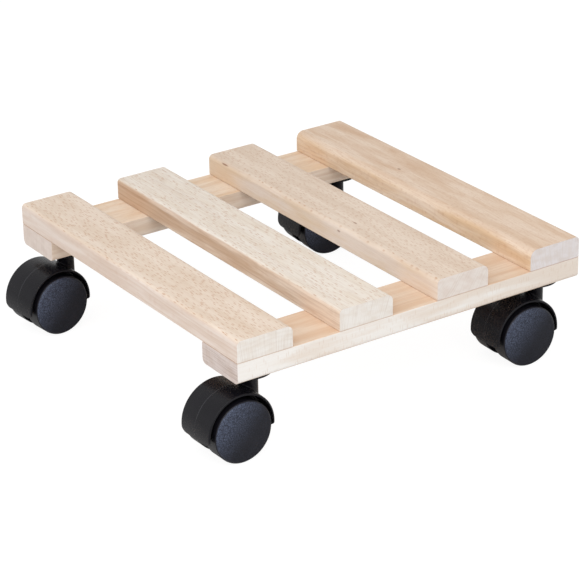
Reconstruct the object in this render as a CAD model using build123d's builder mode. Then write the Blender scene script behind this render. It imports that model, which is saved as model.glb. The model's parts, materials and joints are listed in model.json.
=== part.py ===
"""Square slatted plant caddy on four hooded twin-wheel swivel casters.

Millimetres. +Z is up and the floor is Z = 0. +X runs along the two rails, from
the end that the casters trail past, and +Y runs along the four slats, away from
the front. The origin is on the floor, below the middle of the whole caddy.
"""

import os
from math import cos, radians, sin

from build123d import *

# Deck: four slats laid across two rails, flush with them all round
deck_length = 290.0
deck_width = 290.0
slat_count = 4
slat_width = 44.0
slat_thickness = 16.0
rail_width = 43.0
rail_thickness = 15.5

# Hand-planed roundings: (left, right) long top edge of each slat from the left
slat_top_rounds = ((3.5, 4.8), (3.0, 4.5), (3.5, 5.0), (6.0, 3.0))
slat_bottom_round = 0.6
rail_front_top_round = 0.6
rail_front_bottom_round = 3.2
rail_back_top_round = 0.8
rail_back_bottom_round = 4.0

# Wood screws with 90 degree countersunk heads, all driven up from below
screw_radius = 1.75
screw_head_radius = 3.4
screw_tip = 3.0
screw_fit = 0.02
slat_screw_length = 25.0
slat_screw_offset_x = 17.0
slat_screw_offset_y = 15.0
plate_screw_length = 16.0
plate_screw_count = 4
plate_screw_circle = 11.6
pilot_extra = 0.5

# Casters: where they stand and how they are turned
caster_inset_x = slat_width / 2 + 0.2
caster_inset_y = rail_width / 2
caster_trail = 17.4
headings = {
    "front_left": 1.0,
    "back_left": 5.0,
    "front_right": -2.0,
    "back_right": -4.0,
}

# Mounting plate and swivel pin
plate_radius = 16.8
plate_thickness = 3.5
plate_edge_round = 1.4
plate_top_break = 0.3
swivel_gap = 0.2
pin_radius = 4.0
pin_head_radius = 6.0
pin_head_height = 1.4
pin_reach = 13.6
pin_end_chamfer = 0.8
pin_fit = 0.02
pin_running_clearance = 0.06
pin_end_gap = 0.6
pin_groove_depth = 0.6
pin_groove_height = 1.2
pin_groove_from_end = 2.6
ring_proud = 0.45
ring_clearance = 0.1
ring_split_angle = 34.0

# Hood: a crowned drum open at both ends, with a neck round the pin
hood_radius = 26.8
hood_crown = 0.3
hood_half_width = 16.8
hood_wall = 1.6
hood_rim_round = 0.7
hood_below_centre = 5.0
hood_corner_round = 5.0
hood_headroom = 10.0
cavity_corner_round = 1.5
neck_radius = 6.4
neck_root_round = 0.8
neck_top_chamfer = 0.4
web_half_thickness = 4.0
axle_boss_radius = 7.5
axle_boss_proud = 0.6

# Wheels and their axle
wheel_radius = 22.5
wheel_face_offset = 20.6
wheel_inner_offset = 5.0
wheel_shoulder_radius = 20.2
wheel_shoulder_drop = 0.55
wheel_edge_drop = 1.9
wheel_edge_radius = 22.0
wheel_dome = 0.35
wheel_inner_chamfer = 0.5
wheel_rim_wall = 2.8
wheel_face_wall = 2.6
wheel_hub_radius = 5.6
wheel_end_gap = 0.3
wheel_rib_count = 6
wheel_rib_thickness = 1.6
wheel_rib_setback = 3.0
wheel_drop = 0.5
axle_radius = 3.0
axle_fit = 0.02
axle_running_clearance = 0.06
axle_end_chamfer = 0.6
axle_end_gap = 0.5
axle_groove_depth = 0.5
axle_groove_width = 1.6
axle_groove_from_end = 2.4
snap_lip_clearance = 0.15

# Heights above the floor
axle_height = wheel_radius
hood_height = axle_height + wheel_drop
rail_bottom = hood_height + hood_radius + hood_headroom
rail_top = rail_bottom + rail_thickness
deck_top = rail_top + slat_thickness
plate_bottom = rail_bottom - plate_thickness
neck_top = plate_bottom - swivel_gap
pin_end = plate_bottom - pin_reach
socket_floor = pin_end - pin_end_gap

# The trailing hoods reach past the deck's left edge, so the deck sits off centre
hood_overhang = caster_trail + hood_radius - caster_inset_x
deck_left = -(deck_length - hood_overhang) / 2
deck_right = deck_left + deck_length
deck_front = -deck_width / 2
deck_back = deck_front + deck_width
slat_pitch = (deck_length - slat_width) / (slat_count - 1)

corners = {
    "front_left": (deck_left + caster_inset_x, deck_front + caster_inset_y),
    "back_left": (deck_left + caster_inset_x, deck_back - caster_inset_y),
    "front_right": (deck_right - caster_inset_x, deck_front + caster_inset_y),
    "back_right": (deck_right - caster_inset_x, deck_back - caster_inset_y),
}

os.makedirs("parts", exist_ok=True)


def save(solid, name):
    """Label one piece and write it as its own STEP file."""
    solid.label = name
    export_step(solid, f"parts/{name}.step")


def slat_middle(index):
    """X of the middle of a slat, counted from the left."""
    return deck_left + slat_width / 2 + index * slat_pitch


def slat_screw_points(index, rail_middle):
    """The two screws that hold one slat to one rail, on a diagonal."""
    middle = slat_middle(index)
    near = (middle - slat_screw_offset_x, rail_middle - slat_screw_offset_y)
    far = (middle + slat_screw_offset_x, rail_middle + slat_screw_offset_y)
    return [near, far]


def plate_screw_points(corner):
    """The screws of one caster's plate, on a circle round its pin."""
    points = []
    for number in range(plate_screw_count):
        angle = radians(45.0 + 360.0 / plate_screw_count * number)
        x = corner[0] + plate_screw_circle * cos(angle)
        y = corner[1] + plate_screw_circle * sin(angle)
        points.append((x, y))
    return points


def upward(points, height):
    """Locations at one height whose holes run up into the wood."""
    return [Location((x, y, height), (180, 0, 0)) for x, y in points]


# Slats
def make_slat(index, rounds):
    """A slat with its own edge roundings and the pilot holes in its underside."""
    with BuildPart() as slat:
        with BuildSketch(Plane.XZ.offset(-deck_back)) as section:
            with Locations((slat_middle(index), rail_top + slat_thickness / 2)):
                Rectangle(slat_width, slat_thickness)
            bottom = section.vertices().group_by(Axis.Y)[0]
            fillet(bottom, slat_bottom_round)
            top_left = section.vertices().group_by(Axis.Y)[-1].sort_by(Axis.X)[0]
            fillet(top_left, rounds[0])
            top_right = section.vertices().group_by(Axis.Y)[-1].sort_by(Axis.X)[-1]
            fillet(top_right, rounds[1])
        extrude(amount=deck_width)
        pilot_depth = slat_screw_length - rail_thickness + pilot_extra
        for rail_middle in rail_middles.values():
            points = slat_screw_points(index, rail_middle)
            with Locations(*upward(points, rail_top)):
                Hole(screw_radius + screw_fit, depth=pilot_depth)
    return slat.part


# Rails
def make_rail(rail_middle, rail_corners):
    """A rail, drilled for the slat screws and for the two plates under it."""
    with BuildPart() as rail:
        with BuildSketch(Plane.YZ.offset(deck_left)) as section:
            with Locations((rail_middle, rail_bottom + rail_thickness / 2)):
                Rectangle(rail_width, rail_thickness)
            lower = section.vertices().group_by(Axis.Y)[0].sort_by(Axis.X)
            fillet(lower[0], rail_front_bottom_round)
            lower = section.vertices().group_by(Axis.Y)[0].sort_by(Axis.X)
            fillet(lower[-1], rail_back_bottom_round)
            upper = section.vertices().group_by(Axis.Y)[-1].sort_by(Axis.X)
            fillet(upper[0], rail_front_top_round)
            upper = section.vertices().group_by(Axis.Y)[-1].sort_by(Axis.X)
            fillet(upper[-1], rail_back_top_round)
        extrude(amount=deck_length)
        for index in range(slat_count):
            points = slat_screw_points(index, rail_middle)
            with Locations(*upward(points, rail_bottom)):
                CounterSinkHole(
                    screw_radius + screw_fit,
                    screw_head_radius + screw_fit,
                    depth=rail_thickness,
                )
        pilot_depth = plate_screw_length - plate_thickness + pilot_extra
        for corner in rail_corners:
            with Locations(*upward(plate_screw_points(corner), rail_bottom)):
                Hole(screw_radius + screw_fit, depth=pilot_depth)
    return rail.part


def make_screws(length, points, height):
    """Countersunk screws standing up from their heads, as one group of solids."""
    head_height = screw_head_radius - screw_radius
    with BuildPart() as screw:
        with BuildSketch(Plane.XZ):
            with BuildLine():
                Polyline(
                    (0, 0),
                    (screw_head_radius, 0),
                    (screw_radius, head_height),
                    (screw_radius, length - screw_tip),
                    (0, length),
                    close=True,
                )
            make_face()
        revolve(axis=Axis.Z)
    with BuildPart() as group:
        with Locations(*[Location((x, y, height)) for x, y in points]):
            add(screw.part)
    return group.part


# Caster pieces, each made about its pin: the axle trails towards -X
axle_line = Plane(origin=(-caster_trail, 0, axle_height), x_dir=(0, 1, 0), z_dir=(1, 0, 0))
drum_line = Plane(origin=(-caster_trail, 0, hood_height), x_dir=(0, 1, 0), z_dir=(1, 0, 0))
axle_axis = Axis(axle_line.origin, (0, 1, 0))
drum_axis = Axis(drum_line.origin, (0, 1, 0))


def make_plate():
    """Round plate with a counterbore for the pin's head and countersunk holes."""
    with BuildPart() as plate:
        with BuildSketch(Plane.XY.offset(plate_bottom)):
            Circle(plate_radius)
        extrude(amount=plate_thickness)
        fillet(plate.edges().group_by(Axis.Z)[0], plate_edge_round)
        chamfer(plate.edges().group_by(Axis.Z)[-1], plate_top_break)
        with Locations((0, 0, rail_bottom)):
            CounterBoreHole(
                pin_radius + pin_fit,
                pin_head_radius + pin_fit,
                pin_head_height + pin_fit,
            )
        with Locations(*upward(plate_screw_points((0, 0)), plate_bottom)):
            CounterSinkHole(
                screw_radius + screw_fit,
                screw_head_radius + screw_fit,
                depth=plate_thickness,
            )
    return plate.part


def make_pin():
    """Headed swivel pin with a ring groove near its lower end."""
    head_top = rail_bottom - pin_fit
    head_bottom = head_top - pin_head_height
    groove_bottom = pin_end + pin_groove_from_end
    groove_top = groove_bottom + pin_groove_height
    groove_radius = pin_radius - pin_groove_depth
    with BuildPart() as pin:
        with BuildSketch(Plane.XZ):
            with BuildLine():
                Polyline(
                    (0, pin_end),
                    (pin_radius - pin_end_chamfer, pin_end),
                    (pin_radius, pin_end + pin_end_chamfer),
                    (pin_radius, groove_bottom),
                    (groove_radius, groove_bottom),
                    (groove_radius, groove_top),
                    (pin_radius, groove_top),
                    (pin_radius, head_bottom),
                    (pin_head_radius, head_bottom),
                    (pin_head_radius, head_top),
                    (0, head_top),
                    close=True,
                )
            make_face()
        revolve(axis=Axis.Z)
    return pin.part


def make_pin_ring():
    """Split spring ring that sits in the pin's groove."""
    ring_inner = pin_radius - pin_groove_depth + pin_fit
    ring_outer = pin_radius + ring_proud
    ring_height = pin_groove_height - 2 * ring_clearance
    with BuildPart() as ring:
        base = pin_end + pin_groove_from_end + ring_clearance
        with BuildSketch(Plane.XZ):
            with Locations(((ring_inner + ring_outer) / 2, base + ring_height / 2)):
                Rectangle(ring_outer - ring_inner, ring_height)
        revolve(axis=Axis.Z, revolution_arc=360.0 - ring_split_angle)
    return ring.part


def make_hood():
    """Moulded hood: crowned drum, neck, web between the wheels and axle boss."""
    cavity_radius = hood_radius - hood_wall
    open_side = hood_half_width + hood_wall
    boss_half = web_half_thickness + axle_boss_proud
    with BuildPart() as hood:
        with BuildSketch(drum_line) as drum:
            with BuildLine():
                left_rim = (-hood_half_width, hood_radius - hood_crown)
                right_rim = (hood_half_width, hood_radius - hood_crown)
                ThreePointArc(left_rim, (0, hood_radius), right_rim)
                Polyline(right_rim, (hood_half_width, 0), (-hood_half_width, 0), left_rim)
            make_face()
            fillet(drum.vertices().group_by(Axis.Y)[-1], hood_rim_round)
        revolve(axis=drum_axis)
        split(bisect_by=Plane.XY.offset(hood_height - hood_below_centre), keep=Keep.TOP)
        with BuildSketch(Plane.XY.offset(hood_height)):
            Circle(neck_radius)
        extrude(amount=neck_top - hood_height)
        fillet(hood.edges(Select.LAST).filter_by(GeomType.BSPLINE), neck_root_round)
        chamfer(hood.edges().group_by(Axis.Z)[-1], neck_top_chamfer)
        for side in (1, -1):
            with BuildSketch(drum_line) as cavity:
                with BuildLine():
                    Polyline(
                        (side * web_half_thickness, 0),
                        (side * web_half_thickness, cavity_radius),
                        (side * open_side, cavity_radius),
                        (side * open_side, 0),
                        close=True,
                    )
                make_face()
                inner_corner = cavity.vertices().group_by(Axis.Y)[-1].sort_by(Axis.X)
                fillet(inner_corner[0 if side == 1 else -1], cavity_corner_round)
            revolve(axis=drum_axis, mode=Mode.SUBTRACT)
        with BuildSketch(Plane.YZ.offset(-caster_trail - hood_radius)):
            for side in (1, -1):
                with BuildLine():
                    foot = hood_height - hood_below_centre
                    corner = (side * hood_half_width, foot)
                    on_rim = (side * hood_half_width, foot + hood_corner_round)
                    on_foot = (side * (hood_half_width - hood_corner_round), foot)
                    Polyline(on_foot, corner, on_rim)
                    TangentArc(on_rim, on_foot, tangent=(0, -1))
                make_face()
        extrude(amount=2 * hood_radius, mode=Mode.SUBTRACT)
        with BuildSketch(axle_line):
            with Locations((0, axle_boss_radius / 2)):
                Rectangle(2 * boss_half, axle_boss_radius)
        revolve(axis=axle_axis)
        with BuildSketch(axle_line):
            with Locations((0, (axle_radius + axle_fit) / 2)):
                Rectangle(2 * hood_half_width, axle_radius + axle_fit)
        revolve(axis=axle_axis, mode=Mode.SUBTRACT)
        with BuildSketch(Plane.XZ):
            groove_bottom = pin_end + pin_groove_from_end - ring_clearance
            groove_top = groove_bottom + pin_groove_height + 2 * ring_clearance
            socket_radius = pin_radius + pin_running_clearance
            undercut_radius = pin_radius + ring_proud + ring_clearance
            with BuildLine():
                Polyline(
                    (0, socket_floor),
                    (socket_radius, socket_floor),
                    (socket_radius, groove_bottom),
                    (undercut_radius, groove_bottom),
                    (undercut_radius, groove_top),
                    (socket_radius, groove_top),
                    (socket_radius, neck_top),
                    (0, neck_top),
                    close=True,
                )
            make_face()
        revolve(axis=Axis.Z, mode=Mode.SUBTRACT)
    return hood.part


def make_axle():
    """Straight axle with a snap groove near each end."""
    half = wheel_face_offset - wheel_face_wall - axle_end_gap
    groove_outer = half - axle_groove_from_end
    groove_inner = groove_outer - axle_groove_width
    groove_radius = axle_radius - axle_groove_depth
    with BuildPart() as axle:
        with BuildSketch(axle_line):
            with BuildLine():
                Polyline(
                    (0, 0),
                    (half, 0),
                    (half, axle_radius - axle_end_chamfer),
                    (half - axle_end_chamfer, axle_radius),
                    (groove_outer, axle_radius),
                    (groove_outer, groove_radius),
                    (groove_inner, groove_radius),
                    (groove_inner, axle_radius),
                    (0, axle_radius),
                    close=True,
                )
            make_face()
            mirror(about=Plane.YZ)
        revolve(axis=axle_axis)
    return axle.part


def make_wheel():
    """Moulded wheel on the +Y side: domed face, rim, ribs and snap-on hub."""
    disc_back = wheel_face_offset - wheel_face_wall
    rim_inside = wheel_radius - wheel_rim_wall
    bore_radius = axle_radius + axle_running_clearance
    hub_start = web_half_thickness + axle_boss_proud + wheel_end_gap
    axle_half = disc_back - axle_end_gap
    lip_outer = axle_half - axle_groove_from_end - snap_lip_clearance
    lip_inner = lip_outer - axle_groove_width + 2 * snap_lip_clearance
    lip_radius = axle_radius - axle_groove_depth + snap_lip_clearance
    shoulder = (wheel_face_offset - wheel_shoulder_drop, wheel_shoulder_radius)
    edge = (wheel_face_offset - wheel_edge_drop, wheel_edge_radius)
    tread_end = (edge[0] - (wheel_radius - wheel_edge_radius), wheel_radius)
    with BuildPart() as wheel:
        with BuildSketch(axle_line):
            with BuildLine():
                centre = (wheel_face_offset + wheel_dome, 0)
                dome = TangentArc(centre, shoulder, tangent=(0, 1))
                rounding = TangentArc(shoulder, edge, tangent=dome % 1)
                Line(edge, tread_end)
                Line(tread_end, (wheel_inner_offset + wheel_inner_chamfer, wheel_radius))
                Polyline(
                    (wheel_inner_offset + wheel_inner_chamfer, wheel_radius),
                    (wheel_inner_offset, wheel_radius - wheel_inner_chamfer),
                    (wheel_inner_offset, rim_inside),
                    (disc_back, rim_inside),
                    (disc_back, wheel_hub_radius),
                    (hub_start, wheel_hub_radius),
                    (hub_start, bore_radius),
                    (lip_inner, bore_radius),
                    (lip_inner, lip_radius),
                    (lip_outer, lip_radius),
                    (lip_outer, bore_radius),
                    (disc_back, bore_radius),
                    (disc_back, 0),
                    centre,
                )
            make_face()
        revolve(axis=axle_axis)
        rib_plane = Plane(axle_axis.position, x_dir=(1, 0, 0), z_dir=(0, -1, 0))
        with BuildSketch(rib_plane.offset(-disc_back)):
            rib_span = rim_inside - wheel_hub_radius
            with PolarLocations(wheel_hub_radius + rib_span / 2, wheel_rib_count):
                Rectangle(rib_span + wheel_rib_thickness, wheel_rib_thickness)
        extrude(amount=disc_back - wheel_inner_offset - wheel_rib_setback)
    return wheel.part


rail_middles = {
    "front": deck_front + rail_width / 2,
    "back": deck_back - rail_width / 2,
}

for number, rounds in enumerate(slat_top_rounds):
    save(make_slat(number, rounds), f"slat_{number + 1}")

for end, rail_middle in rail_middles.items():
    rail_corners = [corners[name] for name in corners if name.startswith(end)]
    save(make_rail(rail_middle, rail_corners), f"rail_{end}")
    slat_points = []
    for number in range(slat_count):
        slat_points += slat_screw_points(number, rail_middle)
    save(make_screws(slat_screw_length, slat_points, rail_bottom), f"slat_screws_{end}")

plate = make_plate()
pin = make_pin()
pin_ring = make_pin_ring()
plate_screws = make_screws(plate_screw_length, plate_screw_points((0, 0)), plate_bottom)
hood = make_hood()
axle = make_axle()
wheel_left = make_wheel()
with BuildPart() as mirrored:
    mirror(wheel_left, about=Plane.XZ)
wheel_right = mirrored.part

for name, corner in corners.items():
    fixed = Location((corner[0], corner[1], 0))
    turned = Location((corner[0], corner[1], 0), (0, 0, headings[name]))
    save(plate.moved(fixed), f"{name}_plate")
    save(plate_screws.moved(fixed), f"{name}_plate_screws")
    save(pin.moved(fixed), f"{name}_pin")
    save(pin_ring.moved(fixed), f"{name}_pin_ring")
    save(hood.moved(turned), f"{name}_hood")
    save(axle.moved(turned), f"{name}_axle")
    save(wheel_left.moved(turned), f"{name}_wheel_left")
    save(wheel_right.moved(turned), f"{name}_wheel_right")

print(f"Deck top at {deck_top:.1f} mm, hood overhang {hood_overhang:.1f} mm")
for name, corner in corners.items():
    turn = radians(headings[name])
    axle_x = corner[0] - caster_trail * cos(turn)
    axle_y = corner[1] - caster_trail * sin(turn)
    print(f"{name}: pin at {corner[0]:.2f}, {corner[1]:.2f}, axle at {axle_x:.2f}, {axle_y:.2f}")
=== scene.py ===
# %% [markdown]
# # A beech plant caddy, dressed in Blender
#
# The caddy is four planed beech slats on two rails, carried by four black
# twin-wheel casters. Its solids come ready made from the CAD model, in metres, with
# +Z up and the floor at zero. This lesson adds the camera, the light, the finish of
# each piece, and the small hardware that shows only from below.

# %% Load the solids
import json
from math import cos, pi, radians, sin

import bmesh
import bpy
from mathutils import Matrix, Vector


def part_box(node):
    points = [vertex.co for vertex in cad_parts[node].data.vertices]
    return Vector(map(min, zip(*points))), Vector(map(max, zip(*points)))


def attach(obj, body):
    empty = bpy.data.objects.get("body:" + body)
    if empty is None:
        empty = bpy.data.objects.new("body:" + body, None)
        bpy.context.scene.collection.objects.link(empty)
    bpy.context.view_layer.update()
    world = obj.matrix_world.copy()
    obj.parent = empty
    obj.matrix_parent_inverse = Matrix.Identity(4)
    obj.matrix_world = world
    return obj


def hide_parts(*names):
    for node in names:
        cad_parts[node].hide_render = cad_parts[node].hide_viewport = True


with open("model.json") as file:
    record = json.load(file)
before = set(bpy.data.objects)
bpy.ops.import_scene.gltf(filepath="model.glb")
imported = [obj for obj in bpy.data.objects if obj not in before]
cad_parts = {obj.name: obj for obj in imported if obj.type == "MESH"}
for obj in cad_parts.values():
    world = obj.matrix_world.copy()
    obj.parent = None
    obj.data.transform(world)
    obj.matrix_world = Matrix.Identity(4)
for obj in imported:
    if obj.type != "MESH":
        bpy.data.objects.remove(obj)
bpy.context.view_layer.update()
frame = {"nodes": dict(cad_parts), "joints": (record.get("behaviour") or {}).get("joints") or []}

nodes = frame["nodes"]

# %% [markdown]
# ## The camera
#
# The photographer stood well back with a long lens, in front of the caddy and a
# little to its left. A long lens flattens perspective, so the slats stay almost
# parallel. The place, the lens and the slight tilt were worked out from the deck's
# corners and the casters' rims. Turning the camera by hand until it looks right is
# the other way, but it rarely brings every corner home at once.

# %% Place the camera
IMAGE_WIDTH = 584
SENSOR_WIDTH = 36.0
FOCAL_PIXELS = 2462.2
VIEW_TARGET = Vector((0.00334, -0.00606, 0.03812))
VIEW_DISTANCE = 1.79437
VIEW_AZIMUTH = radians(-33.891)
VIEW_ELEVATION = radians(24.742)
VIEW_ROLL = radians(-1.0887)


def direction(azimuth, elevation):
    """Unit vector from the caddy towards a viewer: azimuth 0 stands in front, at -Y."""
    flat = cos(elevation)
    return Vector((sin(azimuth) * flat, -cos(azimuth) * flat, sin(elevation)))


def facing(back, roll=0.0):
    """Rotation of a camera or lamp that looks along -back with its top upwards."""
    right = Vector((0, 0, 1)).cross(back).normalized()
    up = back.cross(right)
    level = Matrix((right, up, back)).transposed()
    return (level @ Matrix.Rotation(roll, 3, "Z")).to_4x4()


camera_data = bpy.data.cameras.new("photo_camera")
camera_data.sensor_width = SENSOR_WIDTH
camera_data.lens = FOCAL_PIXELS / IMAGE_WIDTH * SENSOR_WIDTH
camera = bpy.data.objects.new("photo_camera", camera_data)
view_back = direction(VIEW_AZIMUTH, VIEW_ELEVATION)
camera.matrix_world = Matrix.Translation(VIEW_TARGET + view_back * VIEW_DISTANCE) @ facing(
    view_back, VIEW_ROLL
)
bpy.context.scene.collection.objects.link(camera)
bpy.context.scene.camera = camera
print(f"Lens {camera_data.lens:.1f} mm, {VIEW_DISTANCE:.2f} m away")

# %% [markdown]
# ## Node graphs as sums
#
# A material is a graph of nodes, and a graph is hard to read as a list of links. So
# a socket is wrapped in a small class whose operators add the Math nodes, and the
# shader reads as a formula. Colours and vectors go through Mix and Vector Math,
# because a Math node would turn a colour grey. Every other node comes from one
# method that takes its type, its settings and the values of its sockets.


# %% A class for sockets and one for graphs
class Signal:
    """A number, colour or vector that a node gives out."""

    def __init__(self, graph, socket):
        self.graph = graph
        self.socket = socket

    def math(self, operation, first, second=0.0):
        return self.graph.node(
            "ShaderNodeMath", {"operation": operation}, {0: first, 1: second}
        )

    def __add__(self, other):
        return self.math("ADD", self, other)

    def __radd__(self, other):
        return self.math("ADD", other, self)

    def __sub__(self, other):
        return self.math("SUBTRACT", self, other)

    def __rsub__(self, other):
        return self.math("SUBTRACT", other, self)

    def __mul__(self, other):
        return self.math("MULTIPLY", self, other)

    def __rmul__(self, other):
        return self.math("MULTIPLY", other, self)

    def __truediv__(self, other):
        return self.math("DIVIDE", self, other)

    def __rtruediv__(self, other):
        return self.math("DIVIDE", other, self)

    def __pow__(self, other):
        return self.math("POWER", self, other)

    def __rpow__(self, other):
        return self.math("POWER", other, self)

    def __abs__(self):
        return self.math("ABSOLUTE", self)

    def fraction(self):
        return self.math("FRACT", self)

    def between(self, low, high):
        """0 below low, 1 above high, with a smooth step from one to the other."""
        return self.graph.node(
            "ShaderNodeMapRange",
            {"interpolation_type": "SMOOTHSTEP"},
            {"Value": self, "From Min": low, "From Max": high},
        )


class Graph:
    """The node tree of one material or of the world."""

    def __init__(self, owner):
        self.owner = owner
        owner.use_nodes = True
        self.tree = owner.node_tree
        self.tree.nodes.clear()

    def node(self, kind, settings=None, inputs=None, output=0):
        made = self.tree.nodes.new(kind)
        for name, value in (settings or {}).items():
            if name == "ramp":
                self.set_ramp(made.color_ramp, value)
            else:
                setattr(made, name, value)
        for name, value in (inputs or {}).items():
            socket = made.inputs[name]
            if isinstance(value, Signal):
                self.tree.links.new(value.socket, socket)
            else:
                socket.default_value = value
        return None if output is None else Signal(self, made.outputs[output])

    def set_ramp(self, ramp, stops):
        while len(ramp.elements) < len(stops):
            ramp.elements.new(0.5)
        for element, (place, colour) in zip(ramp.elements, stops):
            element.position = place
            element.color = colour

    def blend(self, amount, first, second, mode="MIX"):
        """Colours go through a Mix node."""
        return self.node(
            "ShaderNodeMix",
            {"data_type": "RGBA", "blend_type": mode},
            {"Factor": amount, 6: first, 7: second},
            output=2,
        )

    def vector(self, x, y, z):
        return self.node("ShaderNodeCombineXYZ", None, {0: x, 1: y, 2: z})

    def axes(self, vector):
        kind = "ShaderNodeSeparateXYZ"
        parted = self.node(kind, None, {0: vector}).socket.node
        return [Signal(self, output) for output in parted.outputs]

    def noise(self, vector, scale, detail=2.0, roughness=0.5, output=0):
        return self.node(
            "ShaderNodeTexNoise",
            None,
            {"Vector": vector, "Scale": scale, "Detail": detail, "Roughness": roughness},
            output,
        )

    def place(self, output="Object"):
        """Where a point is, on its own solid, in metres."""
        return self.node("ShaderNodeTexCoord", output=output)

    def finish(self, surface):
        kind = "ShaderNodeOutputMaterial"
        if isinstance(self.owner, bpy.types.World):
            kind = "ShaderNodeOutputWorld"
        self.node(kind, None, {"Surface": surface}, output=None)


# %% Write colours as a screen shows them
def srgb(red, green, blue):
    """A colour as a screen shows it, 0 to 255, as the linear value that nodes use."""
    channels = []
    for level in (red, green, blue):
        part = level / 255
        low = part / 12.92
        high = ((part + 0.055) / 1.055) ** 2.4
        channels.append(low if part <= 0.04045 else high)
    return (*channels, 1.0)


print("Shader helpers ready")

# %% [markdown]
# ## Light, floor and background
#
# The photograph is a cut-out on white under broad, even light. The ends of the
# boards that face the front are brightest, the tops a little darker, and the left
# sides darker again. So one soft lamp stands in front and above, a little to the
# left, and a weaker one at the left. Both stand near, so that the light falls off
# towards the right. The world fills in from everywhere. Rays from the camera see
# plain white, and so do gloss and glass, while the floor keeps the caddy's shadow.

# %% Light the scene
WORLD_LIGHT = 0.6
WHITE = (1.0, 1.0, 1.0, 1.0)

world = bpy.data.worlds.new("white_studio")
bpy.context.scene.world = world
sky = Graph(world)
rays = sky.node("ShaderNodeLightPath").socket.node.outputs
direct = Signal(sky, rays["Is Camera Ray"])
mirrored = Signal(sky, rays["Is Glossy Ray"])
through = Signal(sky, rays["Is Transmission Ray"])
white_rays = sky.node(
    "ShaderNodeMath", {"use_clamp": True}, {0: direct + mirrored, 1: through}
)
strength = WORLD_LIGHT + white_rays * (1.0 - WORLD_LIGHT)
sky.finish(sky.node("ShaderNodeBackground", None, {"Color": WHITE, "Strength": strength}))


def soft_lamp(name, azimuth, elevation, distance, size, power):
    """A square softbox that looks at the caddy."""
    data = bpy.data.lights.new(name, "AREA")
    data.size = size
    data.energy = power
    lamp = bpy.data.objects.new(name, data)
    back = direction(radians(azimuth), radians(elevation))
    lamp.matrix_world = Matrix.Translation(back * distance) @ facing(back)
    bpy.context.scene.collection.objects.link(lamp)


soft_lamp("front_softbox", -24, 46, 1.4, 1.1, 8.6)
soft_lamp("left_softbox", -82, 36, 1.5, 1.1, 5.2)
print("One world and two softboxes")

# %% Lay the floor
FLOOR_HALF = 6.0
FLOOR_COLOUR = srgb(244, 244, 244)
FLOOR_WHITENING = 0.82
FLOOR_GLOW = 1.12

floor_data = bpy.data.meshes.new("studio_floor")
corners = [(-1, -1), (1, -1), (1, 1), (-1, 1)]
floor_points = [(x * FLOOR_HALF, y * FLOOR_HALF, 0) for x, y in corners]
floor_data.from_pydata(floor_points, [], [(0, 1, 2, 3)])
floor = bpy.data.objects.new("studio_floor", floor_data)
bpy.context.scene.collection.objects.link(floor)
paper = Graph(bpy.data.materials.new("white_paper"))
matte = paper.node("ShaderNodeBsdfDiffuse", None, {"Color": FLOOR_COLOUR})
glow = paper.node("ShaderNodeEmission", None, {"Color": WHITE, "Strength": FLOOR_GLOW})
floor_rays = paper.node("ShaderNodeLightPath").socket.node.outputs
whitened = Signal(paper, floor_rays["Is Camera Ray"]) * FLOOR_WHITENING
paper.finish(paper.node("ShaderNodeMixShader", None, {0: whitened, 1: matte, 2: glow}))
floor_data.materials.append(paper.owner)
print(f"Floor of {2 * FLOOR_HALF:.0f} m a side laid")

# %% [markdown]
# ## Beech, as a solid
#
# A plank is cut from a round trunk. Growth rings are cylinders round the trunk's
# pith, and the rays are thin ribbons that run outwards from it. On a board's top,
# where the saw cuts across the rays' edges, beech shows its typical short brown
# dashes. On a side that runs along the rays the rings become straight stripes, and
# on the ends the rays are fine pale lines. Painting each face by itself would never
# join up round the edges. So the finish is a solid texture: each board says where
# the pith lay, and every face gets its figure from that.

# %% Where the grain runs
MM = 0.001


def board_place(graph, middle, along):
    """A point's place in its board, in mm: along the fibres, across, and up."""
    x, y, z = graph.axes(graph.place())
    x = (x - middle[0]) / MM
    y = (y - middle[1]) / MM
    z = (z - middle[2]) / MM
    return (x, y, z) if along == "X" else (y, x, z)


def ring_place(graph, place, pith, lean, warp):
    """Distance from the pith and way round it, both in mm."""
    length, across, up = place
    bend = graph.noise(graph.vector(length / 90, across / 45, up / 45), 1.0, 2.0)
    bend_up = graph.noise(graph.vector(length / 70, across / 40 + 9, up / 40), 1.0, 2.0)
    side = across - pith[0] - length * lean[0] + (bend - 0.5) * warp
    rise = up - pith[1] - length * lean[1] + (bend_up - 0.5) * warp
    radius = (side * side + rise * rise) ** 0.5
    angle = graph.node("ShaderNodeMath", {"operation": "ARCTAN2"}, {0: side, 1: rise})
    return radius, angle * (pith[0] ** 2 + pith[1] ** 2) ** 0.5


print("Grain helpers ready")

# %% [markdown]
# The finish itself mixes several things over the board's own colour: slow drifts of
# tone, faint growth rings, fine fibre streaks, the dashes of the rays, and the paler,
# greyer look of cut fibre ends, which is partly painted light: the ends are painted
# paler, as the light falls on them most, and less pale towards the right. A board's
# sides come from another direction in the trunk than its top, so they have a tone of
# their own. That tone is partly painted light too: a side is painted paler or darker
# as the light falls on it, and some sides are painted darker along their length as a
# painted falloff of the light. A thin dark line of painted shade at a slat's foot
# draws the shaded crevice where it meets the rail. Small figures such as pores belong
# in the bump as well as the colour, because a planed face is never smooth.


# %% The beech finish
BOARD_HALF_LENGTH = 145.0
SLAT_FOOT = (-7.9, -7.1)


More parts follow.
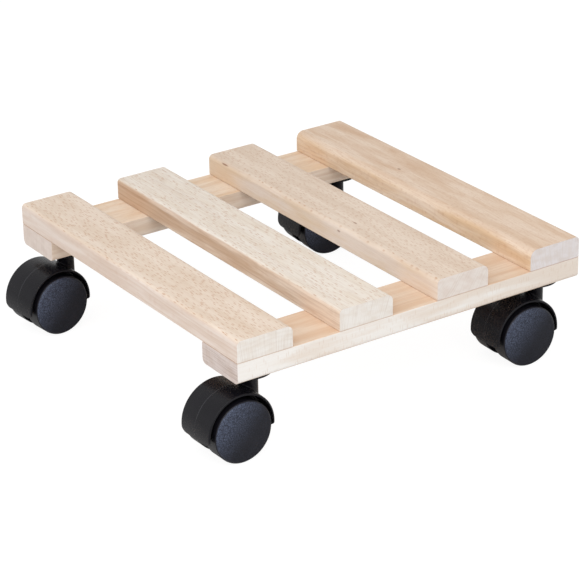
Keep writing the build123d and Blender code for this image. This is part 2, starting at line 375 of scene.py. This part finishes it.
def beech(name, middle, along, look):
    """A solid beech material for one board."""
    graph = Graph(bpy.data.materials.new(name))
    length, across, up = board_place(graph, middle, along)
    place = (length, across, up)
    radius, around = ring_place(graph, place, look["pith"], look["lean"], look["warp"])

    normal = graph.axes(graph.place("Normal"))
    fibre_normal, side_normal = normal[:2] if along == "X" else (normal[1], normal[0])
    end_face = abs(fibre_normal).between(0.75, 0.9)
    side_face = abs(side_normal).between(0.55, 0.95)

    drift_place = graph.vector(length / 70, across / 9, up / 9 + look["seed"])
    drift = graph.noise(drift_place, 1.0, 3.0, 0.6)
    # Painted falloff of the light: side faces are painted darker along their length.
    drift = drift + length * look["painted_falloff"] * side_face / BOARD_HALF_LENGTH
    unevenness = graph.vector(radius / 9, length / 260, look["seed"])
    ring_count = radius / look["ring"] + graph.noise(unevenness, 1.0, 1.0) * 1.6
    ring = ring_count.fraction()
    late = ring.between(0.25, 0.9) * (1 - ring.between(0.9, 1.0))
    strength = graph.noise(graph.vector(ring_count, length / 120, 3.0), 0.5, 1.0)
    late = late * strength.between(0.35, 0.7)
    fibres = graph.vector(length / 26, around / 0.8, radius / 0.8)
    streak = graph.noise(fibres, 1.0, 3.0, 0.6)
    fine = graph.noise(graph.vector(length / 5, around / 0.2, radius / 0.2), 1.0, 1.0)
    streak_mask = streak.between(0.42, 0.72) * look["streak_depth"]

    mix = drift.between(0.34, 0.66)
    top = graph.blend(mix, look["pale"], look["warm"])
    # A side's own tone, partly painted light: each side is painted paler or darker as the light
    # falls on it.
    side = graph.blend(mix, look["side_pale_tone_and_light"], look["side_warm_tone_and_light"])
    colour = graph.blend(side_face, top, side)
    figure = late * (look["ring_depth"] + side_face * look["side_rings"])
    colour = graph.blend(figure, colour, look["dark"])
    colour = graph.blend(streak_mask, colour, look["dark"])

    wide, tall = look["ray_size"]
    flat = {"voronoi_dimensions": "2D"}
    cell = {"Vector": graph.vector(around / wide, length / tall, 0.0), "Scale": 1.0}
    ray = graph.node("ShaderNodeTexVoronoi", flat, cell, "Distance")
    tone = graph.axes(graph.node("ShaderNodeTexVoronoi", flat, cell, "Color"))[0]
    shown = tone.between(look["ray_gap"], 0.95)
    dash = (1 - ray.between(0.08, 0.34)) * shown * (1 - end_face)
    dash = dash * (1 - side_face * (1 - look["side_rays"]))
    colour = graph.blend(dash * look["ray_depth"], colour, look["ray"])

    ray_lines = graph.vector(around / 0.9, radius / 50, length / 50)
    line = graph.noise(ray_lines, 1.0, 2.0, 0.7)
    clouds = graph.vector(length / 9, across / 9, up / 5 + look["seed"])
    cloud = graph.noise(clouds, 1.0, 2.0)
    # The ends' pale, greyish tone is partly painted light: ends are painted paler where the
    # light falls on them most.
    end_colour = graph.blend(cloud.between(0.35, 0.7), look["end"], look["end_warm"])
    end_mask = line.between(0.46, 0.7) * look["end_lines"] + late * look["end_rings"]
    end_colour = graph.blend(end_mask, end_colour, look["end_dark"])
    colour = graph.blend(end_face, colour, end_colour)
    for spot in look.get("marks", ()):
        colour = mark(graph, place, colour, spot)
    # Painted shade: a thin dark line at the slat's foot, where the crevice with the rail is
    # shaded.
    joint = 1 - up.between(*SLAT_FOOT)
    colour = graph.blend(joint * look["joint_shade_depth"], colour, look["joint"])

    planed = (fine * 0.5 + streak * 0.5) * (1 - end_face) - dash * 0.3
    height = planed + line * end_face * 0.8
    bump = graph.node(
        "ShaderNodeBump", None, {"Strength": 0.2, "Distance": 0.00025, "Height": height}
    )
    shader = graph.node(
        "ShaderNodeBsdfPrincipled",
        None,
        {
            "Base Color": colour,
            "Roughness": 0.55 + streak * 0.1 + end_face * 0.2 - dash * 0.06,
            "Normal": bump,
            "Specular IOR Level": 0.3,
        },
    )
    graph.finish(shader)
    return graph.owner


def mark(graph, place, colour, spot):
    """A small knot or nick: its place, its size, how dark it is and its colour."""
    at, size, depth, tint = spot
    far_long, far_side, far_up = (
        (value - middle) / half for value, middle, half in zip(place, at, size)
    )
    reach = (far_long * far_long + far_side * far_side + far_up * far_up) ** 0.5
    return graph.blend((1 - reach.between(0.4, 1.0)) * depth, colour, tint)


print("Beech recipe ready")

# %% [markdown]
# ## Six boards from six planks
#
# No two boards of the real caddy match. The first slat is beige and thick with
# dashes, the second is the palest with a striped, browner side, the third is warm
# and speckled, and the fourth is golden with a wavy figure. The front rail's face is
# painted as the palest wood of all, partly as painted light, since it faces the
# lamps. Each board therefore gets its own colours, its own pith and its own rays,
# from one shared table, and the table also holds painted light: side and end tones
# and a painted falloff along the sides. A knot or a nick is one line in it.

# %% Describe each board
SLAT_LOOK = {
    "pale": srgb(231, 215, 199),
    "warm": srgb(222, 203, 184),
    # Side tones, partly painted light.
    "side_pale_tone_and_light": srgb(225, 211, 201),
    "side_warm_tone_and_light": srgb(214, 195, 181),
    "dark": srgb(190, 154, 124),
    "ray": srgb(184, 134, 94),
    # End tones, partly painted light.
    "end": srgb(230, 225, 219),
    "end_warm": srgb(224, 216, 207),
    "end_dark": srgb(203, 189, 176),
    "pith": (8.0, -190.0),
    "lean": (0.02, 0.015),
    "warp": 5.0,
    "ring": 3.4,
    "ring_depth": 0.12,
    "side_rings": 0.12,
    "streak_depth": 0.16,
    "ray_size": (1.15, 8.0),
    "ray_gap": 0.0,
    "ray_depth": 0.8,
    "side_rays": 0.12,
    "end_lines": 0.4,
    "end_rings": 0.15,
    # Painted shade for the crevice at a slat's foot.
    "joint": srgb(168, 118, 82),
    "joint_shade_depth": 0.42,
    # Painted falloff of the light along a side.
    "painted_falloff": 0.0,
    "seed": 1.0,
}
KNOT = srgb(140, 96, 72)

BOARDS = {
    "slat_1": ("Y", {"seed": 1.3}),
    "slat_2": (
        "Y",
        {
            "pale": srgb(235, 226, 215),
            "warm": srgb(229, 217, 202),
            "side_pale_tone_and_light": srgb(233, 213, 194),
            "side_warm_tone_and_light": srgb(206, 176, 149),
            "dark": srgb(168, 126, 94),
            "ray_gap": 0.35,
            "ray_depth": 0.7,
            "side_rings": 0.45,
            "streak_depth": 0.24,
            "pith": (-30.0, -150.0),
            "painted_falloff": 0.14,
            "seed": 4.1,
        },
    ),
    "slat_3": (
        "Y",
        {
            "pale": srgb(229, 212, 195),
            "warm": srgb(219, 199, 180),
            "side_pale_tone_and_light": srgb(234, 219, 206),
            "side_warm_tone_and_light": srgb(225, 202, 176),
            "end": srgb(225, 216, 209),
            "end_warm": srgb(218, 205, 196),
            "pith": (90.0, 120.0),
            "ray_size": (0.95, 6.0),
            "ray_depth": 0.65,
            "painted_falloff": 0.08,
            "marks": [
                ((-30.9, -9.5, 8.0), (3.2, 0.9, 3.0), 0.75, KNOT),
                ((-28.0, -22.0, 4.0), (2.6, 2.0, 1.1), 0.6, KNOT),
                ((123.3, -21.3, 7.0), (6.0, 0.6, 1.6), 0.85, KNOT),
            ],
            "seed": 7.7,
        },
    ),
    "slat_4": (
        "Y",
        {
            "pale": srgb(230, 209, 189),
            "warm": srgb(218, 191, 166),
            "side_pale_tone_and_light": srgb(238, 218, 198),
            "side_warm_tone_and_light": srgb(223, 192, 158),
            "dark": srgb(190, 146, 108),
            "end": srgb(221, 215, 215),
            "end_warm": srgb(214, 205, 201),
            "ring_depth": 0.3,
            "side_rings": 0.0,
            "streak_depth": 0.3,
            "ray_size": (2.0, 4.5),
            "ray_depth": 0.22,
            "side_rays": 0.9,
            "lean": (0.04, 0.03),
            "warp": 9.0,
            "pith": (14.0, -90.0),
            "marks": [((33.7, -4.1, 8.0), (2.2, 1.4, 3.0), 0.7, KNOT)],
            "seed": 12.9,
        },
    ),
    "rail_front": (
        "X",
        {
            "pale": srgb(231, 208, 186),
            "warm": srgb(221, 189, 160),
            "side_pale_tone_and_light": srgb(235, 231, 226),
            "side_warm_tone_and_light": srgb(225, 213, 201),
            "end": srgb(212, 199, 193),
            "end_warm": srgb(202, 186, 177),
            "end_dark": srgb(160, 138, 126),
            "end_lines": 0.6,
            "ring_depth": 0.22,
            "side_rings": -0.2,
            "ray": srgb(198, 168, 140),
            "ray_size": (7.0, 1.6),
            "ray_depth": 0.26,
            "side_rays": 1.0,
            "streak_depth": 0.06,
            "pith": (220.0, 2.0),
            "lean": (0.0, 0.0),
            "warp": 2.0,
            "painted_falloff": 0.2,
            "joint_shade_depth": 0.0,
            "seed": 21.0,
        },
    ),
    "rail_back": (
        "X",
        {
            "pale": srgb(240, 222, 202),
            "warm": srgb(230, 203, 174),
            "side_pale_tone_and_light": srgb(228, 214, 200),
            "side_warm_tone_and_light": srgb(214, 194, 174),
            "end": srgb(222, 208, 199),
            "end_warm": srgb(214, 198, 188),
            "ring_depth": 0.2,
            "ray_depth": 0.25,
            "pith": (-30.0, 160.0),
            "joint_shade_depth": 0.0,
            "seed": 33.0,
        },
    ),
}


def finish_solid(name, material):
    """Give a solid from the CAD model its finish."""
    solid = nodes[name]
    solid.data.materials.clear()
    solid.data.materials.append(material)


for name, (along, changes) in BOARDS.items():
    low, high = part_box(name)
    look = {**SLAT_LOOK, **changes}
    finish_solid(name, beech(name + "_beech", (low + high) / 2, along, look))
print(f"{len(BOARDS)} boards finished")

# %% [markdown]
# ## Black moulded casters
#
# The hood and plate are satin polypropylene, smooth enough to mirror the white
# room as a soft grey. The wheels' faces came out of a spark-eroded mould, so they
# carry a fine grain, while the treads and the shoulder round each face are smooth.
# The grain's pale bluish sheen and its glitter are painted into the colour, as a
# painted sheen and painted glints. All of it is one black plastic with different
# mould textures, so one recipe serves, and the place on the part decides which
# texture it has. The faces catch the light at their upper left. Soft lamps alone
# leave them too even, so that paler sheen is painted here, and its price is that it
# turns with the wheel. The hood's parting line carries a painted highlight.

# %% Find a caster's own axes
CORNERS = ("front_left", "back_left", "front_right", "back_right")
joints = {joint["name"]: joint for joint in frame["joints"]}


def axle_place(graph, corner):
    """Place about a caster's axle, in mm: along the axle, ahead of it and above it."""
    spin = joints[corner + "_left_wheel_spin"]
    centre = spin["pos_m"]
    axle = Vector(spin["axis"])
    ahead = Vector((axle.y, -axle.x, 0))
    x, y, z = graph.axes(graph.place())
    x = (x - centre[0]) / MM
    y = (y - centre[1]) / MM
    along = x * axle.x + y * axle.y
    forward = x * ahead.x + y * ahead.y
    return along, forward, (z - centre[2]) / MM


for corner in CORNERS:
    pin = Vector(joints[corner + "_swivel"]["pos_m"])
    axle = Vector(joints[corner + "_left_wheel_spin"]["pos_m"])
    print(f"{corner} caster trails {(pin - axle).xy.length / MM:.1f} mm")


# %% The black plastic finish
def black_plastic(name, corner, part):
    """Satin or grained black plastic for a plate, a hood or a wheel."""
    graph = Graph(bpy.data.materials.new(name))
    along, forward, height = axle_place(graph, corner)
    here = graph.vector(along, forward, height)
    reach = (forward * forward + height * height) ** 0.5
    flow = graph.noise(here, 0.06, 2.0)
    smear = graph.noise(here, 0.7, 3.0, 0.6)
    colour = graph.blend(flow, srgb(13, 12, 17), srgb(22, 21, 26))
    rough = 0.2 + smear * 0.12 + flow * 0.04
    relief = smear * 0.12
    if part == "wheel":
        face = abs(along).between(18.0, 18.7) * (1 - reach.between(21.7, 22.3))
        speckle = graph.noise(here, 1.3, 3.0, 0.8)
        grain = graph.noise(here, 3.0, 2.0, 0.7)
        # Painted sheen: each face is painted paler towards its upper left, where it catches the
        # light.
        painted_sheen = (height - forward).between(-12.0, 34.0)
        # The face is painted pale and bluish, partly grain tone and partly painted sheen.
        grain_and_painted_sheen = (0.2 + speckle.between(0.4, 0.62) * 0.8) * (0.1 + painted_sheen * 0.9)
        colour = graph.blend(face * grain_and_painted_sheen, colour, srgb(84, 92, 113))
        # Painted glints: pale bluish specks where the grain would glitter in the light.
        painted_glints = grain.between(0.56, 0.72) * speckle.between(0.45, 0.6) * painted_sheen
        colour = graph.blend(painted_glints * face * 0.8, colour, srgb(124, 132, 154))
        rough = 0.3 + face * 0.16 + smear * 0.06
        relief = (speckle * 0.9 + grain * 0.6) * face + smear * 0.1
    if part == "hood":
        outside = reach.between(26.0, 26.4) * (1 - abs(along).between(0.08, 0.3))
        # Painted highlight: the upper part of the real parting line is painted paler, where its
        # ridge catches the light.
        painted_seam_highlight = outside * height.between(4.0, 16.0)
        colour = graph.blend(painted_seam_highlight * 0.45, colour, srgb(84, 84, 90))
        relief = relief + outside * 0.6
    bump = graph.node(
        "ShaderNodeBump", None, {"Strength": 0.35, "Distance": 0.0003, "Height": relief}
    )
    shader = graph.node(
        "ShaderNodeBsdfPrincipled",
        None,
        {
            "Base Color": colour,
            "Roughness": rough,
            "Normal": bump,
            "Specular IOR Level": 0.16,
        },
    )
    graph.finish(shader)
    return graph.owner


for corner in CORNERS:
    for part in ("plate", "hood", "wheel_left", "wheel_right"):
        name = f"{corner}_{part}"
        finish_solid(name, black_plastic(name + "_black", corner, part.split("_")[0]))
print("Plastic pieces finished")

# %% [markdown]
# ## Steel
#
# The pins, rings, axles and screws are zinc-plated steel. Plating looks even from
# afar, but close up its shine comes and goes in small clouds, and drawn wire keeps
# fine lines along it. That is roughness, not colour, so the clouds feed Roughness.


# %% The steel finish
def plated_steel(name):
    graph = Graph(bpy.data.materials.new(name))
    here = graph.place()
    clouds = graph.noise(here, 900.0, 3.0, 0.6)
    lines = graph.noise(here, 5200.0, 1.0)
    colour = graph.blend(clouds, srgb(176, 178, 182), srgb(196, 196, 194))
    bump = graph.node(
        "ShaderNodeBump", None, {"Strength": 0.15, "Distance": 0.0001, "Height": lines}
    )
    shader = graph.node(
        "ShaderNodeBsdfPrincipled",
        None,
        {
            "Base Color": colour,
            "Metallic": 1.0,
            "Roughness": 0.24 + clouds * 0.22,
            "Normal": bump,
        },
    )
    graph.finish(shader)
    return graph.owner


steel = plated_steel("zinc_plated_steel")
for corner in CORNERS:
    for part in ("pin", "pin_ring", "axle"):
        finish_solid(f"{corner}_{part}", steel)
print("Steel pieces finished")

# %% [markdown]
# ## Wood screws
#
# Turned over, the caddy shows sixteen screw heads in its rails and four in each
# plate. The solids have plain heads and shanks. Real ones have a cross recess for
# the driver and a coarse thread. A thread could be a Screw modifier, but a tube
# whose radius swells along a helix needs only one small formula, and the recess is
# cut from the head's face point by point.

# %% Shape one screw
HEAD_RADIUS = 3.4
SHANK_RADIUS = 1.75
CORE_RADIUS = 1.2
THREAD_PITCH = 1.9
SLAT_SCREW_LENGTH = 25.0
PLATE_SCREW_LENGTH = 16.0
TIP_LENGTH = 3.0
SMOOTH_SHANK = 0.3
AROUND = 20
RECESS_ARM = 2.0
RECESS_HALF_WIDTH = 0.5
RECESS_DEPTH = 1.1
RECESS_SLOPE = 0.5
RECESS_STEP = 0.3
HEAD_RINGS = 14
NECK_END = 1.6
NECK_STEP = 0.5
THREAD_STEP = 0.24
TIP_RADIUS = 0.05
TIP_GAP = 0.2
SCREW_TURN = 2.4


def recess_depth(x, y):
    """How deep the cross recess is at a point of the head's face, in mm."""
    arm = max(abs(x), abs(y))
    width = min(abs(x), abs(y))
    if arm > RECESS_ARM or width > RECESS_HALF_WIDTH:
        return 0.0
    return RECESS_DEPTH * min(1.0, (RECESS_ARM - arm) / RECESS_SLOPE + RECESS_STEP)


def screw_radius(height, angle, length):
    """Radius of the shank: smooth under the head, then threaded to the tip."""
    head = HEAD_RADIUS - height
    if head > SHANK_RADIUS:
        return head
    if height < length * SMOOTH_SHANK:
        return SHANK_RADIUS
    turn = (height / THREAD_PITCH - angle / (2 * pi)) % 1.0
    ridge = max(0.0, 1.0 - abs(turn - 0.5) * 4)
    taper = min(1.0, (length - height) / TIP_LENGTH)
    return (CORE_RADIUS + (SHANK_RADIUS - CORE_RADIUS) * ridge) * taper


def screw_shape(length):
    """Points and faces of one screw that stands on its head, in mm."""
    mesh = bmesh.new()
    discs = []
    for ring in range(1, HEAD_RINGS + 1):
        radius = HEAD_RADIUS * ring / HEAD_RINGS
        row = []
        for spoke in range(2 * AROUND):
            angle = pi * spoke / AROUND
            x, y = radius * cos(angle), radius * sin(angle)
            row.append(mesh.verts.new((x, y, recess_depth(x, y))))
        discs.append(row)
    centre = mesh.verts.new((0, 0, RECESS_DEPTH))
    count = 2 * AROUND
    for spoke in range(count):
        after = (spoke + 1) % count
        mesh.faces.new((centre, discs[0][after], discs[0][spoke]))
        for inner, outer in zip(discs, discs[1:]):
            mesh.faces.new((inner[spoke], inner[after], outer[after], outer[spoke]))
    rows = [discs[-1]]
    height = 0.0
    while height < length - TIP_GAP:
        height += THREAD_STEP if height > NECK_END else NECK_STEP
        row = []
        for spoke in range(count):
            angle = pi * spoke / AROUND
            radius = max(TIP_RADIUS, screw_radius(height, angle, length))
            row.append(mesh.verts.new((radius * cos(angle), radius * sin(angle), height)))
        rows.append(row)
    for lower, upper in zip(rows, rows[1:]):
        for spoke in range(count):
            after = (spoke + 1) % count
            mesh.faces.new((lower[spoke], lower[after], upper[after], upper[spoke]))
    tip = mesh.verts.new((0, 0, length))
    for spoke in range(count):
        after = (spoke + 1) % count
        mesh.faces.new((rows[-1][spoke], rows[-1][after], tip))
    bmesh.ops.recalc_face_normals(mesh, faces=mesh.faces)
    mesh.verts.index_update()
    points = [tuple(vert.co) for vert in mesh.verts]
    faces = [tuple(vert.index for vert in face.verts) for face in mesh.faces]
    mesh.free()
    return points, faces


print("A slat screw has", len(screw_shape(SLAT_SCREW_LENGTH)[1]), "faces")

# %% [markdown]
# The places of the screws come from the solids they stand for: each solid of a
# group is one screw, and the middle of its box is the screw's axis. Each screw is
# turned by its own angle, because nobody lines up the slots of wood screws.


# %% Stand the screws in place
def separate_places(solid):
    """Middle and foot of each loose solid in a node, in metres."""
    mesh = bmesh.new()
    mesh.from_mesh(solid.data)
    bmesh.ops.remove_doubles(mesh, verts=mesh.verts, dist=1e-6)
    left = set(mesh.verts)
    found = []
    while left:
        stack = [left.pop()]
        group = []
        while stack:
            vert = stack.pop()
            group.append(vert.co.copy())
            for edge in vert.link_edges:
                other = edge.other_vert(vert)
                if other in left:
                    left.remove(other)
                    stack.append(other)
        xs = [point.x for point in group]
        ys = [point.y for point in group]
        foot = min(point.z for point in group)
        middle_x = round((min(xs) + max(xs)) / 2, 6)
        middle_y = round((min(ys) + max(ys)) / 2, 6)
        found.append((middle_x, middle_y, foot))
    mesh.free()
    return sorted(found)


def screw_group(name, length):
    """All the screws of one node as one detailed piece."""
    points, faces = screw_shape(length)
    all_points = []
    all_faces = []
    for number, (x, y, foot) in enumerate(separate_places(nodes[name])):
        turn = Matrix.Rotation(number * SCREW_TURN, 4, "Z")
        base = len(all_points)
        for point in points:
            moved = turn @ Vector(point) * MM
            all_points.append((moved.x + x, moved.y + y, moved.z + foot))
        all_faces += [tuple(index + base for index in face) for face in faces]
    data = bpy.data.meshes.new(name + "_threaded")
    data.from_pydata(all_points, [], all_faces)
    data.materials.append(steel)
    piece = bpy.data.objects.new(name + "_threaded", data)
    bpy.context.scene.collection.objects.link(piece)
    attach(piece, "deck")
    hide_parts(name)


for rail in ("front", "back"):
    screw_group("slat_screws_" + rail, SLAT_SCREW_LENGTH)
for corner in CORNERS:
    screw_group(corner + "_plate_screws", PLATE_SCREW_LENGTH)
print("Six groups of screws stand in place")

# %% [markdown]
# ## Colour as written
#
# The Standard view shows a colour as it is written, with no film-like roll-off.

# %% Set the view
bpy.context.scene.view_settings.view_transform = "Standard"
